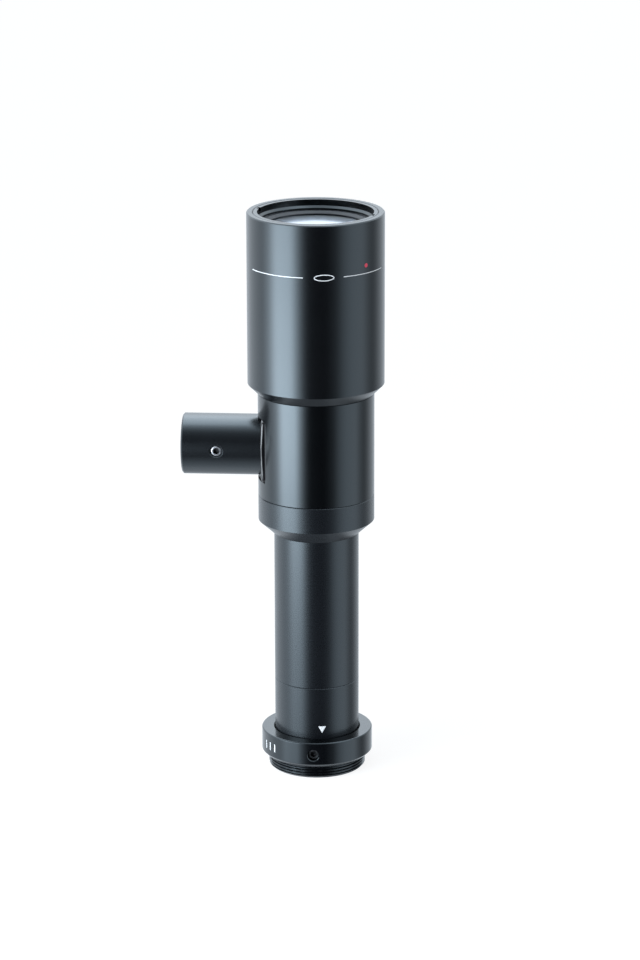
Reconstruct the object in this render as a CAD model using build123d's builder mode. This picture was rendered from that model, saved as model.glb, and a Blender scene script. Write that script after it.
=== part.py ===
from build123d import *
import math
import os

os.makedirs("parts", exist_ok=True)

# A telecentric machine vision lens with a side port for coaxial light, in millimetres.
# Z = 0 is the camera flange, and +Z runs along the optical axis towards the object side.
# The light port points along -X, and its clamp screw and the first mount screw point along -Y.

# Outside radii
front_radius = 17.70
mid_radius = 15.10
tube_radius = 11.03
thread_radius = 12.70
port_radius = 7.92

# Lengths along the optical axis, from the camera end upwards
thread_length = 3.50
ring_height = 6.95
tube_seat = 1.20
mount_tube_length = 19.60
rear_tube_length = 40.00
cone_length = 3.65
rear_land_length = 6.70
mid_length = 27.30
front_length = 47.45
front_taper_length = 2.60

# Clearances between pieces that screw, slide or seat together
thread_gap = 0.04
slide_gap = 0.04
turning_gap = 0.05
glass_gap = 0.05
seat_gap = 0.02
foot_gap = 0.10

# Bevels on the turned edges
edge_break = 0.15
rim_bevel = 0.25
ring_foot_bevel = 1.00
thread_bevel = 0.60
bore_bevel = 0.35

# Walls of the barrels and the mount ring, and the widths of the lips inside them
front_wall = 2.80
rim_wall = 1.60
ring_wall = 3.47
thread_wall = 2.70
front_lip = 2.70
tube_lip = 1.50
stop_lip = 1.40

# Screwed joints between the barrels: each spigot is stepped in from the outside of its own barrel
tube_spigot_inset = 0.83
tube_spigot_wall = 0.80
tube_spigot_length = 4.10
mid_spigot_inset = 1.90
mid_spigot_wall = 2.00
mid_spigot_length = 3.70
front_spigot_inset = 1.14
front_spigot_length = 4.55
spigot_relief = 0.20

# Camera mount clamp
groove_height = 3.55
groove_depth = 0.65
mount_screw_count = 3
mount_screw_sink = 1.05
point_gap = 0.27
point_length = 1.27
screw_radius = 1.47
screw_gap = 0.03
screw_mouth = 0.20
socket_across_flats = 1.50
socket_depth = 1.20

# Light port
port_height = 12.90
port_length = 21.90
flat_margin = 0.25
pocket_margin = 0.43
port_spigot_inset = 0.92
port_spigot_wall = 1.00
port_spigot_length = 1.35
light_bore = 4.00
light_bore_depth = 15.00
light_lip = 0.40
light_lip_length = 1.00
port_end_bevel = 0.40
port_screw_station = 9.25
port_screw_sink = 0.42
port_screw_gap = 0.50
bead_height = 1.30
bead_width = 1.30
bead_edge = 0.15

# Condenser lens behind the light port
condenser_curve = 9.00
condenser_edge = 1.25
condenser_ring_width = 1.00
condenser_ring_length = 2.00

# Beam splitter and its holder
holder_flange = 1.25
holder_wall = 2.40
plate_thickness = 1.10
plate_inset = 1.00
absorber_thickness = 0.50
absorber_width = 9.60
absorber_low = 6.00
absorber_gap = 1.72

# Objective ring and cell at the front
front_ring_inset = 0.05
front_ring_width = 1.15
front_ring_wall = 1.60
front_ring_step = 0.55
front_ring_height = 2.60
front_slot_width = 1.60
front_slot_depth = 0.90
front_slot_length = 0.65
front_slot_angle = -13.0
cell_flange = 1.85
cell_wall = 1.00
cell_lip = 0.95
cell_lip_width = 1.30
cell_lip_bevel = 0.65
cell_skirt = 1.00
lip_height = 1.80
baffle_thickness = 1.20
baffle_width = 3.90
baffle_edge = 0.20

# Objective glass: a cemented pair and a single lens
objective_front_curve = 80.0
objective_cement_curve = 62.0
objective_back_curve = 260.0
objective_crown_thickness = 6.00
objective_flint_thickness = 3.00
objective_spacer_length = 3.50
objective_spacer_width = 1.00
singlet_front_curve = 90.0
singlet_back_curve = 130.0
singlet_thickness = 3.80
lens_ring_length = 3.00
lens_ring_width = 1.50
cement_gap = 0.02
glass_bevel = 0.25

# Aperture stop in the rear barrel
stop_height = 8.90
stop_lip_length = 1.20
stop_thickness = 0.50
stop_aperture = 3.20
stop_edge = 0.12
stop_ring_length = 2.00
stop_ring_width = 2.00

# Rear glass and its cell inside the mount tube
cell_seat = 5.90
rear_cell_wall = 1.20
rear_cell_lip = 0.80
rear_cell_lip_width = 1.00
rear_cell_skirt = 0.90
rear_singlet_curve = 40.0
rear_singlet_thickness = 3.00
rear_spacer_length = 2.40
rear_ring_width = 0.90
rear_back_curve = 90.0
rear_cement_curve = 20.0
rear_front_curve = 28.0
rear_flint_thickness = 2.00
rear_crown_edge = 2.05
rear_ring_length = 2.20

# Slots for a pin spanner in the inner rings
slot_width = 1.20
slot_depth = 0.80

# Radii worked out from the outside radii and the walls
ring_radius = tube_radius + turning_gap + ring_wall
ring_bore = thread_radius - thread_wall
tube_spigot_radius = tube_radius - tube_spigot_inset
mid_spigot_radius = mid_radius - mid_spigot_inset
front_spigot_radius = mid_radius - front_spigot_inset
optical_bore = tube_spigot_radius - tube_spigot_wall
tube_lip_bore = optical_bore - tube_lip
stop_lip_bore = optical_bore - stop_lip
stop_ring_bore = optical_bore - stop_ring_width
mid_bore = mid_spigot_radius - mid_spigot_wall
holder_bore = mid_bore - holder_wall
plate_reach = mid_bore - plate_inset
rim_bore = front_radius - rim_wall
front_bore = front_radius - front_wall
front_lip_bore = front_bore - front_lip
baffle_bore = front_bore - baffle_width
front_ring_bore = rim_bore - front_ring_width
front_slot_reach = front_ring_bore + front_slot_length
cell_bore = front_bore - cell_wall
cell_lip_bore = cell_bore - cell_lip_width
objective_spacer_bore = cell_bore - objective_spacer_width
lens_ring_bore = cell_bore - lens_ring_width
rear_cell_bore = optical_bore - rear_cell_wall
rear_cell_lip_bore = rear_cell_bore - rear_cell_lip_width
rear_ring_bore = rear_cell_bore - rear_ring_width
port_spigot_radius = port_radius - port_spigot_inset
condenser_bore = port_spigot_radius - port_spigot_wall
condenser_ring_bore = condenser_bore - condenser_ring_width
light_lip_bore = light_bore - light_lip

# The flat is cut just deep enough to be wider than the port, and the screws reach what they clamp
flat_width = 2 * (port_radius + flat_margin)
pocket_side = 2 * (port_radius + pocket_margin)
port_flat = math.sqrt(mid_radius**2 - (flat_width / 2) ** 2)
mount_screw_head = ring_radius - mount_screw_sink
mount_screw_tip = tube_radius - groove_depth + point_gap
mount_screw_length = mount_screw_head - mount_screw_tip
port_screw_length = port_radius - port_screw_sink - light_bore - port_screw_gap

# Heights of the seams, worked out from the lengths
tube_foot = tube_seat + foot_gap
lower_seam = tube_seat + mount_tube_length
cone_foot = lower_seam + rear_tube_length
cone_top = cone_foot + cone_length
middle_seam = cone_top + rear_land_length
upper_seam = middle_seam + mid_length
top_rim = upper_seam + front_length


def outline(*points):
    """A closed section of a turned piece, from its corners as (radius, height)."""
    with BuildSketch(Plane.XZ) as section:
        with BuildLine():
            Polyline(*points, close=True)
        make_face()
    return section.sketch


def ring_outline(outer, inner, low, high, bevel=edge_break):
    """The section of a plain ring with its outer edges bevelled."""
    return outline(
        (inner, low),
        (outer - bevel, low),
        (outer, low + bevel),
        (outer, high - bevel),
        (outer - bevel, high),
        (inner, high),
    )


def surface(apex, curve, reach):
    """Height of a glass surface at a distance from its axis. A positive curve bulges up, zero is flat."""
    if curve == 0:
        return apex
    sag = abs(curve) - math.sqrt(curve**2 - reach**2)
    return apex - math.copysign(sag, curve)


def glass_outline(top, top_curve, bottom, bottom_curve, rim, plane=Plane.XZ):
    """The half section of a lens between two spherical surfaces, with its edge bevelled."""
    inner = rim - glass_bevel

    def face(apex, curve):
        start, end = (0, apex), (inner, surface(apex, curve, inner))
        if curve == 0:
            Line(start, end)
        else:
            ThreePointArc(start, (inner / 2, surface(apex, curve, inner / 2)), end)
        return end

    with BuildSketch(plane) as section:
        with BuildLine():
            upper = face(top, top_curve)
            lower = face(bottom, bottom_curve)
            Polyline(
                upper,
                (rim, upper[1] - glass_bevel),
                (rim, lower[1] + glass_bevel),
                lower,
            )
            Line((0, bottom), (0, top))
        make_face()
    return section.sketch


# Camera mount
# The ring carries the camera thread and turns on the tube when its screws are loosened.
ring_hole = screw_radius + screw_gap
screw_angles = [-90 + 360 * number / mount_screw_count for number in range(mount_screw_count)]


def mount_screw_plane(angle, distance):
    """A plane across a mount screw's axis, facing outwards, at a distance from the optical axis."""
    turn = math.radians(angle)
    way = Vector(math.cos(turn), math.sin(turn), 0)
    return Plane(origin=way * distance + Vector(0, 0, groove_height), z_dir=way)


with BuildPart() as mount_ring:
    revolve(
        outline(
            (ring_bore, -thread_length),
            (thread_radius - thread_bevel, -thread_length),
            (thread_radius, thread_bevel - thread_length),
            (thread_radius, 0),
            (ring_radius - ring_foot_bevel, 0),
            (ring_radius, ring_foot_bevel),
            (ring_radius, ring_height - rim_bevel),
            (ring_radius - rim_bevel, ring_height),
            (tube_radius + turning_gap + bore_bevel, ring_height),
            (tube_radius + turning_gap, ring_height - bore_bevel),
            (tube_radius + turning_gap, tube_seat),
            (ring_bore, tube_seat),
        ),
        axis=Axis.Z,
    )
    for angle in screw_angles:
        with BuildSketch(mount_screw_plane(angle, tube_radius - groove_depth)):
            Circle(ring_hole)
        extrude(amount=ring_radius, mode=Mode.SUBTRACT)
        with BuildSketch(mount_screw_plane(angle, ring_radius - screw_mouth)):
            Circle(ring_hole)
        extrude(amount=2 * screw_mouth, taper=-45, mode=Mode.SUBTRACT)
mount_ring.part.label = "mount_ring"
export_step(mount_ring.part, "parts/mount_ring.step")

# Mount screws
# Each has a hexagon socket outside and a cone point that stands in the tube's groove.
for number, angle in enumerate(screw_angles, start=1):
    tip_plane = mount_screw_plane(angle, mount_screw_tip)
    outwards = Axis(tip_plane.origin, tip_plane.z_dir)
    with BuildPart() as mount_screw:
        with BuildSketch(tip_plane):
            Circle(screw_radius)
        extrude(amount=mount_screw_length)
        chamfer(mount_screw.faces().sort_by(outwards)[0].edges(), point_length)
        chamfer(mount_screw.faces().sort_by(outwards)[-1].edges(), edge_break)
        with BuildSketch(mount_screw_plane(angle, mount_screw_head - socket_depth)):
            RegularPolygon(socket_across_flats / 2, 6, major_radius=False)
        extrude(amount=mount_screw_length, mode=Mode.SUBTRACT)
    mount_screw.part.label = f"mount_screw_{number}"
    export_step(mount_screw.part, f"parts/mount_screw_{number}.step")

# Mount tube
# It has a V groove for the screws, and a spigot that screws up into the rear barrel.
rear_cell_seat = tube_foot + cell_seat
with BuildPart() as mount_tube:
    revolve(
        outline(
            (tube_lip_bore, tube_foot),
            (tube_radius - edge_break, tube_foot),
            (tube_radius, tube_foot + edge_break),
            (tube_radius, groove_height - groove_depth),
            (tube_radius - groove_depth, groove_height),
            (tube_radius, groove_height + groove_depth),
            (tube_radius, lower_seam - edge_break),
            (tube_radius - edge_break, lower_seam),
            (tube_spigot_radius, lower_seam),
            (tube_spigot_radius, lower_seam + tube_spigot_length),
            (optical_bore, lower_seam + tube_spigot_length),
            (optical_bore, rear_cell_seat),
            (tube_lip_bore, rear_cell_seat),
        ),
        axis=Axis.Z,
    )
mount_tube.part.label = "mount_tube"
export_step(mount_tube.part, "parts/mount_tube.step")

# Rear glass, stacked upwards in its cell from the lip at the camera end
rear_rim = rear_cell_bore - glass_gap
singlet_base = rear_cell_seat + rear_cell_lip + seat_gap
singlet_apex = singlet_base + rear_singlet_thickness
spacer_base = surface(singlet_apex, rear_singlet_curve, rear_ring_bore) + seat_gap
spacer_top = spacer_base + rear_spacer_length
flint_base = spacer_top + seat_gap - rear_back_curve + math.sqrt(rear_back_curve**2 - rear_ring_bore**2)
flint_top = flint_base + rear_flint_thickness
crown_base = flint_top + cement_gap
crown_edge_top = surface(crown_base, -rear_cement_curve, rear_rim) + rear_crown_edge
crown_apex = surface(crown_edge_top, -rear_front_curve, rear_rim)
rear_ring_base = surface(crown_apex, rear_front_curve, rear_ring_bore) + seat_gap
rear_ring_top = rear_ring_base + rear_ring_length

with BuildPart() as rear_lens_cell:
    revolve(
        outline(
            (rear_cell_lip_bore, rear_cell_seat),
            (optical_bore - thread_gap - edge_break, rear_cell_seat),
            (optical_bore - thread_gap, rear_cell_seat + edge_break),
            (optical_bore - thread_gap, rear_ring_top + rear_cell_skirt),
            (rear_cell_bore, rear_ring_top + rear_cell_skirt),
            (rear_cell_bore, rear_cell_seat + rear_cell_lip),
            (rear_cell_lip_bore, rear_cell_seat + rear_cell_lip),
        ),
        axis=Axis.Z,
    )
rear_lens_cell.part.label = "rear_lens_cell"
export_step(rear_lens_cell.part, "parts/rear_lens_cell.step")

with BuildPart() as rear_singlet:
    revolve(
        glass_outline(singlet_apex, rear_singlet_curve, singlet_base, 0, rear_rim),
        axis=Axis.Z,
    )
rear_singlet.part.label = "rear_singlet"
export_step(rear_singlet.part, "parts/rear_singlet.step")

with BuildPart() as rear_spacer:
    revolve(ring_outline(rear_rim, rear_ring_bore, spacer_base, spacer_top), axis=Axis.Z)
rear_spacer.part.label = "rear_spacer"
export_step(rear_spacer.part, "parts/rear_spacer.step")

with BuildPart() as rear_flint_lens:
    revolve(
        glass_outline(flint_top, -rear_cement_curve, flint_base, -rear_back_curve, rear_rim),
        axis=Axis.Z,
    )
rear_flint_lens.part.label = "rear_flint_lens"
export_step(rear_flint_lens.part, "parts/rear_flint_lens.step")

with BuildPart() as rear_crown_lens:
    revolve(
        glass_outline(crown_apex, rear_front_curve, crown_base, -rear_cement_curve, rear_rim),
        axis=Axis.Z,
    )
rear_crown_lens.part.label = "rear_crown_lens"
export_step(rear_crown_lens.part, "parts/rear_crown_lens.step")

with BuildPart() as rear_lens_ring:
    revolve(
        ring_outline(rear_cell_bore - thread_gap, rear_ring_bore, rear_ring_base, rear_ring_top),
        axis=Axis.Z,
    )
    with Locations((0, 0, rear_ring_top)):
        Box(2 * rear_cell_bore, slot_width, 2 * slot_depth, mode=Mode.SUBTRACT)
rear_lens_ring.part.label = "rear_lens_ring"
export_step(rear_lens_ring.part, "parts/rear_lens_ring.step")

# Rear barrel
# One turned piece: the thin tube, the cone and the land that takes the middle barrel's spigot.
spigot_pocket = lower_seam + tube_spigot_length + spigot_relief
stop_face = lower_seam + stop_height
land_recess = middle_seam - mid_spigot_length - holder_flange
with BuildPart() as rear_barrel:
    revolve(
        outline(
            (tube_spigot_radius + thread_gap, lower_seam),
            (tube_radius - edge_break, lower_seam),
            (tube_radius, lower_seam + edge_break),
            (tube_radius, cone_foot),
            (mid_radius, cone_top),
            (mid_radius, middle_seam - edge_break),
            (mid_radius - edge_break, middle_seam),
            (mid_spigot_radius + thread_gap, middle_seam),
            (mid_spigot_radius + thread_gap, land_recess),
            (optical_bore, land_recess),
            (optical_bore, stop_face + stop_lip_length),
            (stop_lip_bore, stop_face + stop_lip_length),
            (stop_lip_bore, stop_face),
            (optical_bore, stop_face),
            (optical_bore, spigot_pocket),
            (tube_spigot_radius + thread_gap, spigot_pocket),
        ),
        axis=Axis.Z,
    )
rear_barrel.part.label = "rear_barrel"
export_step(rear_barrel.part, "parts/rear_barrel.step")

# Aperture stop: a thin disc with a knife edge, pressed against the lip by a screwed ring
with BuildPart() as aperture_stop:
    revolve(
        outline(
            (stop_aperture, stop_face - stop_edge),
            (stop_aperture + stop_thickness, stop_face - stop_thickness),
            (optical_bore - slide_gap, stop_face - stop_thickness),
            (optical_bore - slide_gap, stop_face),
            (stop_aperture, stop_face),
        ),
        axis=Axis.Z,
    )
aperture_stop.part.label = "aperture_stop"
export_step(aperture_stop.part, "parts/aperture_stop.step")

stop_ring_top = stop_face - stop_thickness
stop_ring_base = stop_ring_top - stop_ring_length
with BuildPart() as stop_ring:
    revolve(
        ring_outline(optical_bore - thread_gap, stop_ring_bore, stop_ring_base, stop_ring_top),
        axis=Axis.Z,
    )
    with Locations((0, 0, stop_ring_base)):
        Box(2 * optical_bore, slot_width, 2 * slot_depth, mode=Mode.SUBTRACT)
stop_ring.part.label = "stop_ring"
export_step(stop_ring.part, "parts/stop_ring.step")

# Middle barrel
# A tube with a spigot at each end, and a square flat with a round hole for the light port.
port_axis = middle_seam + port_height


def port_plane(distance):
    """A plane across the light port's axis, facing outwards, at a distance from the optical axis."""
    return Plane(origin=(-distance, 0, port_axis), x_dir=(0, -1, 0), z_dir=(-1, 0, 0))


with BuildPart() as mid_barrel:
    revolve(
        outline(
            (mid_bore, middle_seam - mid_spigot_length),
            (mid_spigot_radius, middle_seam - mid_spigot_length),
            (mid_spigot_radius, middle_seam),
            (mid_radius - edge_break, middle_seam),
            (mid_radius, middle_seam + edge_break),
            (mid_radius, upper_seam - edge_break),
            (mid_radius - edge_break, upper_seam),
            (front_spigot_radius, upper_seam),
            (front_spigot_radius, upper_seam + front_spigot_length),
            (mid_bore, upper_seam + front_spigot_length),
        ),
        axis=Axis.Z,
    )
    with BuildSketch(port_plane(port_flat)):
        Rectangle(2 * mid_radius, pocket_side)
    extrude(amount=mid_radius, mode=Mode.SUBTRACT)
    with BuildSketch(port_plane(0)):
        Circle(port_spigot_radius + slide_gap)
    extrude(amount=mid_radius, mode=Mode.SUBTRACT)
mid_barrel.part.label = "mid_barrel"
export_step(mid_barrel.part, "parts/mid_barrel.step")

# Light port
# Its shoulder stands on the flat, its spigot fills the hole, and a light guide slides into its bore.
port_end = port_flat + port_length
light_lip_face = port_end - light_bore_depth
condenser_seat = light_lip_face - light_lip_length
port_screw_distance = port_end - port_screw_station


def port_screw_plane(height):
    """A plane across the port screw's axis, facing outwards, at a height above the port's axis."""
    return Plane(origin=(-port_screw_distance, -height, port_axis), z_dir=(0, -1, 0))


with BuildPart() as port_tube:
    with BuildSketch(port_plane(port_flat)):
        Circle(port_radius)
    extrude(amount=port_length)
    with BuildSketch(port_plane(port_flat)):
        Circle(port_spigot_radius)
    extrude(amount=-port_spigot_length)
    with BuildSketch(port_plane(port_end)):
        Circle(light_bore)
    extrude(amount=-light_bore_depth, mode=Mode.SUBTRACT)
    with BuildSketch(port_plane(light_lip_face)):
        Circle(light_lip_bore)
    extrude(amount=-light_lip_length, mode=Mode.SUBTRACT)
    with BuildSketch(port_plane(condenser_seat)):
        Circle(condenser_bore)
    extrude(amount=-port_length, mode=Mode.SUBTRACT)
    mouth = port_tube.faces().sort_by(Axis.X)[0]
    chamfer(mouth.outer_wire().edges(), port_end_bevel)
    mouth = port_tube.faces().filter_by(Axis.X).sort_by(Axis.X)[0]
    chamfer(mouth.inner_wires().edges(), rim_bevel)
    with BuildSketch(port_screw_plane(0)):
        Circle(ring_hole)
    extrude(amount=port_radius, mode=Mode.SUBTRACT)
    with BuildSketch(port_screw_plane(port_radius - 2 * screw_mouth)):
        Circle(ring_hole)
    extrude(amount=2 * screw_mouth, taper=-45, mode=Mode.SUBTRACT)
port_tube.part.label = "port_tube"
export_step(port_tube.part, "parts/port_tube.step")

# Port screw: it clamps the light guide, and stands clear of the bore while the port is empty
with BuildPart() as port_screw:
    with BuildSketch(port_screw_plane(port_radius - port_screw_sink)):
        Circle(screw_radius)
    extrude(amount=-port_screw_length)
    chamfer(port_screw.edges().filter_by(GeomType.CIRCLE), edge_break)
    with BuildSketch(port_screw_plane(port_radius - port_screw_sink)):
        RegularPolygon(socket_across_flats / 2, 6, major_radius=False)
    extrude(amount=-socket_depth, mode=Mode.SUBTRACT)
port_screw.part.label = "port_screw"
export_step(port_screw.part, "parts/port_screw.step")

# Adhesive bead round the foot of the light port, kept to the milled flat
with BuildPart() as port_adhesive:
    with BuildSketch(port_plane(port_flat)):
        Circle(port_radius + bead_width)
    with BuildSketch(port_plane(port_flat + bead_height)):
        Circle(port_radius + bead_edge)
    loft()
    with BuildSketch(port_plane(port_flat)):
        Rectangle(flat_width, pocket_side - 2 * seat_gap)
    extrude(amount=bead_height, mode=Mode.INTERSECT)
    with BuildSketch(port_plane(port_flat)):
        Circle(port_radius + seat_gap)
    extrude(amount=bead_height, mode=Mode.SUBTRACT)
port_adhesive.part.label = "port_adhesive"
export_step(port_adhesive.part, "parts/port_adhesive.step")

# Condenser lens: flat against the port's lip, bulging towards the beam splitter
condenser_flat = condenser_seat - seat_gap
condenser_rim = condenser_bore - glass_gap
condenser_apex = surface(condenser_flat - condenser_edge, condenser_curve, condenser_rim)
along_port = Plane(origin=(0, 0, port_axis), x_dir=(0, 0, 1), z_dir=(0, -1, 0))
with BuildPart() as condenser_lens:
    revolve(
        glass_outline(
            condenser_flat,
            0,
            condenser_apex,
            -condenser_curve,
            condenser_rim,
            along_port,
        ),
        axis=Axis((0, 0, port_axis), (1, 0, 0)),
    )
condenser_lens.part.label = "condenser_lens"
export_step(condenser_lens.part, "parts/condenser_lens.step")

condenser_ring_face = surface(condenser_apex, -condenser_curve, condenser_ring_bore) - seat_gap
with BuildPart() as condenser_ring:
    with BuildSketch(port_plane(condenser_ring_face)):
        Circle(condenser_bore - thread_gap)
        Circle(condenser_ring_bore, mode=Mode.SUBTRACT)
    extrude(amount=-condenser_ring_length)
    with BuildSketch(port_plane(condenser_ring_face - condenser_ring_length)):
        Rectangle(2 * condenser_bore, slot_width)
    extrude(amount=slot_depth, mode=Mode.SUBTRACT)
condenser_ring.part.label = "condenser_ring"
export_step(condenser_ring.part, "parts/condenser_ring.step")

# Beam splitter holder
# A sleeve cut off at 45 degrees, with a flange that the rear barrel clamps under the spigot.
splitter_face = Plane(origin=(0, 0, port_axis), z_dir=(-1, 0, 1))
with BuildPart() as splitter_holder:
    revolve(
        outline(
            (holder_bore, land_recess),
            (mid_spigot_radius, land_recess),
            (mid_spigot_radius, land_recess + holder_flange),
            (mid_bore - slide_gap, land_recess + holder_flange),
            (mid_bore - slide_gap, upper_seam),
            (holder_bore, upper_seam),
        ),
        axis=Axis.Z,
    )
    with BuildSketch(splitter_face.offset(-plate_thickness)):
        Rectangle(4 * mid_length, 4 * mid_length)
    extrude(amount=2 * mid_length, mode=Mode.SUBTRACT)
splitter_holder.part.label = "splitter_holder"
export_step(splitter_holder.part, "parts/splitter_holder.step")

# Beam splitter: a glass plate on the slanted face, oval so that it looks round along the axis
with BuildPart() as splitter_plate:
    with BuildSketch(splitter_face):
        Ellipse(plate_reach * math.sqrt(2), plate_reach)
    extrude(amount=seat_gap - plate_thickness)
splitter_plate.part.label = "splitter_plate"
export_step(splitter_plate.part, "parts/splitter_plate.step")

# Light absorber: a black patch on the holder's wall, where light goes straight through the plate
# Its top edge stays below the slanted plate, which comes closest at the patch's two upright sides.
absorber_inner = holder_bore - absorber_thickness
absorber_side = math.sqrt(absorber_inner**2 - (absorber_width / 2) ** 2)
absorber_top = port_axis + absorber_side - plate_thickness * math.sqrt(2) - absorber_gap
with BuildPart() as light_absorber:
    revolve(
        outline(
            (absorber_inner, port_axis - absorber_low),
            (holder_bore - seat_gap, port_axis - absorber_low),
            (holder_bore - seat_gap, absorber_top),
            (absorber_inner, absorber_top),
        ),
        axis=Axis.Z,
    )
    with Locations((holder_bore, 0, port_axis)):
        Box(holder_bore, absorber_width, 2 * mid_length, mode=Mode.INTERSECT)
light_absorber.part.label = "light_absorber"
export_step(light_absorber.part, "parts/light_absorber.step")

# Front barrel
# The wide barrel narrows to the middle one by a bevel, and carries the objective cell.
spigot_seat = upper_seam + front_spigot_length + spigot_relief
baffle_seat = spigot_seat + lip_height
cell_top = top_rim - front_ring_inset - front_ring_height
flange_seat = cell_top - cell_flange
with BuildPart() as front_barrel:
    revolve(
        outline(
            (front_spigot_radius + thread_gap, upper_seam),
            (mid_radius, upper_seam),
            (front_radius, upper_seam + front_taper_length),
            (front_radius, top_rim - rim_bevel),
            (front_radius - rim_bevel, top_rim),
            (rim_bore + edge_break, top_rim),
            (rim_bore, top_rim - edge_break),
            (rim_bore, flange_seat),
            (front_bore, flange_seat),
            (front_bore, baffle_seat),
            (front_lip_bore, baffle_seat),
            (front_lip_bore, spigot_seat),
            (front_spigot_radius + thread_gap, spigot_seat),
        ),
        axis=Axis.Z,
    )
front_barrel.part.label = "front_barrel"
export_step(front_barrel.part, "parts/front_barrel.step")

# Baffle ring inside the front barrel, with a knife edge
with BuildPart() as front_baffle:
    revolve(
        outline(
            (baffle_bore, baffle_seat),
            (front_bore - slide_gap, baffle_seat),
            (front_bore - slide_gap, baffle_seat + baffle_thickness),
            (baffle_bore + baffle_thickness, baffle_seat + baffle_thickness),
            (baffle_bore, baffle_seat + baffle_edge),
        ),
        axis=Axis.Z,
    )
front_baffle.part.label = "front_baffle"
export_step(front_baffle.part, "parts/front_baffle.step")

# Objective glass, stacked downwards from the cell's lip
objective_rim = cell_bore - glass_gap
lip_base = cell_top - cell_lip
objective_apex = lip_base - seat_gap - surface(0, objective_front_curve, cell_lip_bore)
cement_apex = objective_apex - objective_crown_thickness
flint_apex = cement_apex - cement_gap - objective_flint_thickness
objective_spacer_top = surface(flint_apex, -objective_back_curve, objective_spacer_bore) - seat_gap
objective_spacer_base = objective_spacer_top - objective_spacer_length
single_apex = objective_spacer_base - seat_gap - surface(0, singlet_front_curve, objective_spacer_bore)
single_base = single_apex - singlet_thickness
lens_ring_top = surface(single_base, singlet_back_curve, objective_rim - glass_bevel) - seat_gap
lens_ring_base = lens_ring_top - lens_ring_length

with BuildPart() as objective_cell:
    revolve(
        outline(
            (cell_lip_bore, lip_base),
            (cell_lip_bore, cell_top - cell_lip_bevel),
            (cell_lip_bore + cell_lip_bevel, cell_top),
            (rim_bore - slide_gap, cell_top),
            (rim_bore - slide_gap, flange_seat),
            (front_bore - slide_gap, flange_seat),
            (front_bore - slide_gap, lens_ring_base - cell_skirt),
            (cell_bore, lens_ring_base - cell_skirt),
            (cell_bore, lip_base),
        ),
        axis=Axis.Z,
    )
objective_cell.part.label = "objective_cell"
export_step(objective_cell.part, "parts/objective_cell.step")

with BuildPart() as objective_crown_lens:
    revolve(
        glass_outline(
            objective_apex,
            objective_front_curve,
            cement_apex,
            -objective_cement_curve,
            objective_rim,
        ),
        axis=Axis.Z,
    )
objective_crown_lens.part.label = "objective_crown_lens"
export_step(objective_crown_lens.part, "parts/objective_crown_lens.step")

with BuildPart() as objective_flint_lens:
    revolve(
        glass_outline(
            cement_apex - cement_gap,
            -objective_cement_curve,
            flint_apex,
            -objective_back_curve,
            objective_rim,
        ),
        axis=Axis.Z,
    )
objective_flint_lens.part.label = "objective_flint_lens"
export_step(objective_flint_lens.part, "parts/objective_flint_lens.step")

with BuildPart() as objective_spacer:
    revolve(
        ring_outline(
            objective_rim, objective_spacer_bore, objective_spacer_base, objective_spacer_top
        ),
        axis=Axis.Z,
    )
objective_spacer.part.label = "objective_spacer"
export_step(objective_spacer.part, "parts/objective_spacer.step")

with BuildPart() as objective_single_lens:
    revolve(
        glass_outline(
            single_apex, singlet_front_curve, single_base, singlet_back_curve, objective_rim
        ),
        axis=Axis.Z,
    )
objective_single_lens.part.label = "objective_single_lens"
export_step(objective_single_lens.part, "parts/objective_single_lens.step")

with BuildPart() as objective_lens_ring:
    revolve(
        ring_outline(cell_bore - thread_gap, lens_ring_bore, lens_ring_base, lens_ring_top),
        axis=Axis.Z,
    )
    with Locations((0, 0, lens_ring_base)):
        Box(2 * cell_bore, slot_width, 2 * slot_depth, mode=Mode.SUBTRACT)
objective_lens_ring.part.label = "objective_lens_ring"
export_step(objective_lens_ring.part, "parts/objective_lens_ring.step")

# Front ring: it screws in flush with the rim, holds the cell, and has two spanner slots
front_ring_top = top_rim - front_ring_inset
with BuildPart() as front_ring:
    revolve(
        outline(
            (front_ring_bore - front_ring_step, cell_top),
            (rim_bore - thread_gap, cell_top),
            (rim_bore - thread_gap, front_ring_top - edge_break),
            (rim_bore - thread_gap - edge_break, front_ring_top),
            (front_ring_bore, front_ring_top),
            (front_ring_bore, front_ring_top - front_ring_wall),
            (front_ring_bore - front_ring_step, front_ring_top - front_ring_wall - front_ring_step),
        ),
        axis=Axis.Z,
    )
    with Locations(Location((0, 0, front_ring_top), (0, 0, front_slot_angle))):
        Box(2 * front_slot_reach, front_slot_width, 2 * front_slot_depth, mode=Mode.SUBTRACT)
front_ring.part.label = "front_ring"
export_step(front_ring.part, "parts/front_ring.step")
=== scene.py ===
# %% [markdown]
# # A machine vision lens in a small studio
# The lens stands on its camera thread with the big front glass up. It is almost all black
# anodised metal, so what the eye reads is not a colour but the lamps in its polish: a wide
# pale band on the left, a weaker one on the right, and black between them. This notebook
# builds the studio first, then the finishes, then the pieces that need more shape than the
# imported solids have: the mount ring with its thread, the set screws, the bead of adhesive,
# the objective's glass and the marks.

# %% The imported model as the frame
import math

import bpy
import numpy as np
from mathutils import Matrix


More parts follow.
